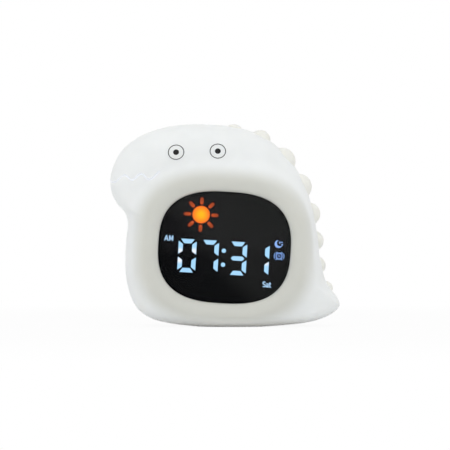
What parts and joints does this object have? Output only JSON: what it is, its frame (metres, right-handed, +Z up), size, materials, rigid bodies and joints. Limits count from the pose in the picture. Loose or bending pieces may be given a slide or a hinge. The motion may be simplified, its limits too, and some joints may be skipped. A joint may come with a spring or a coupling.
{
  "type": "kids alarm clock with night light",
  "caption": "Soft white dinosaur-shaped cover over a clock unit with a dark oval display, rear buttons, speaker, battery and an inner lamp.",
  "frame": {"origin": "on the table, under the middle of the body's bounding box", "axes": "+X to the right seen from the front, the display faces -Y, +Z up"},
  "size_m": [0.1497, 0.076, 0.1318],
  "materials": {
    "silicone": "satin translucent silicone",
    "eye_print": "printed ink",
    "milky_plastic": "fine matt",
    "steel": "plated steel",
    "window": "polished dark tint",
    "black_tape": "matt",
    "mask_film": "printed film",
    "white_reflector": "matt",
    "circuit_board": "solder mask",
    "led_white": "clear lens",
    "led_amber": "clear lens",
    "black_chip": "moulded resin",
    "foam_tape": "foam",
    "battery_foil": "laminated foil",
    "white_board": "solder mask",
    "led_warm": "clear lens",
    "diffuser": "satin milky plastic",
    "bright_metal": "bright",
    "capacitor_sleeve": "sleeve",
    "sensor_sleeve": "sleeve",
    "connector_white": "moulded",
    "flat_cable": "film cable",
    "wire_red": "insulation",
    "wire_black": "insulation",
    "wire_yellow": "insulation",
    "switch_black": "moulded",
    "button_plastic": "satin",
    "gasket_foam": "foam",
    "speaker_steel": "plated",
    "magnet": "dark plated",
    "speaker_film": "film",
    "copper": "enamelled wire"
  },
  "bodies": {
    "clock": {"silicone_cover": "silicone", "eye_rings": "eye_print", "eye_pupils": "eye_print", "front_housing": "milky_plastic", "rear_housing": "milky_plastic", "case_screws": "steel", "display_window": "window", "window_adhesive": "black_tape", "display_mask": "mask_film", "display_reflector": "white_reflector", "display_board": "circuit_board", "segment_leds": "led_white", "sun_leds": "led_amber", "icon_leds": "led_white", "display_driver": "black_chip", "display_board_screws": "steel", "battery_tape": "foam_tape", "battery": "battery_foil", "night_light_board": "white_board", "night_light_leds": "led_warm", "light_board_screws": "steel", "light_diffuser": "diffuser", "main_board": "circuit_board", "board_chips": "black_chip", "clock_crystal": "bright_metal", "filter_capacitor": "capacitor_sleeve", "tap_sensor": "sensor_sleeve", "wire_connectors": "connector_white", "cable_sockets": "connector_white", "main_board_screws": "steel", "display_cable": "flat_cable", "battery_wires": "wire_red", "speaker_wires": "wire_black", "light_wires": "wire_yellow", "tact_switches": "switch_black", "power_switch_body": "bright_metal", "usb_port_shell": "bright_metal", "usb_port_tongue": "switch_black", "speaker_gasket": "gasket_foam", "speaker_frame": "speaker_steel", "speaker_magnet": "magnet", "speaker_screws": "steel"},
    "set_key": {"set_button": "button_plastic", "set_plunger": "switch_black"},
    "alarm_key": {"alarm_button": "button_plastic", "alarm_plunger": "switch_black"},
    "sound_key": {"sound_button": "button_plastic", "sound_plunger": "switch_black"},
    "light_key": {"light_button": "button_plastic", "light_plunger": "switch_black"},
    "minus_key": {"minus_button": "button_plastic", "minus_plunger": "switch_black"},
    "plus_key": {"plus_button": "button_plastic", "plus_plunger": "switch_black"},
    "power_knob": {"power_switch_knob": "switch_black"},
    "speaker_moving_system": {"speaker_cone": "speaker_film", "voice_coil": "copper"}
  },
  "joints": [
    {"name": "set_press", "type": "slide", "parent": "clock", "child": "set_key", "axis": [0, -1, 0], "range_m": [0, 0.0005], "stiffness_N_per_m": 600},
    {"name": "alarm_press", "type": "slide", "parent": "clock", "child": "alarm_key", "axis": [0, -1, 0], "range_m": [0, 0.0005], "stiffness_N_per_m": 600},
    {"name": "sound_press", "type": "slide", "parent": "clock", "child": "sound_key", "axis": [0, -1, 0], "range_m": [0, 0.0005], "stiffness_N_per_m": 600},
    {"name": "light_press", "type": "slide", "parent": "clock", "child": "light_key", "axis": [0, -1, 0], "range_m": [0, 0.0005], "stiffness_N_per_m": 600},
    {"name": "minus_press", "type": "slide", "parent": "clock", "child": "minus_key", "axis": [0, -1, 0], "range_m": [0, 0.0005], "stiffness_N_per_m": 600},
    {"name": "plus_press", "type": "slide", "parent": "clock", "child": "plus_key", "axis": [0, -1, 0], "range_m": [0, 0.0005], "stiffness_N_per_m": 600},
    {"name": "power_switch_slide", "type": "slide", "parent": "clock", "child": "power_knob", "axis": [0.9983, 0, -0.0576], "range_m": [0, 0.002]},
    {"name": "speaker_cone_stroke", "type": "slide", "parent": "clock", "child": "speaker_moving_system", "axis": [0, 1, 0], "range_m": [-0.0004, 0.0004], "stiffness_N_per_m": 900}
  ]
}
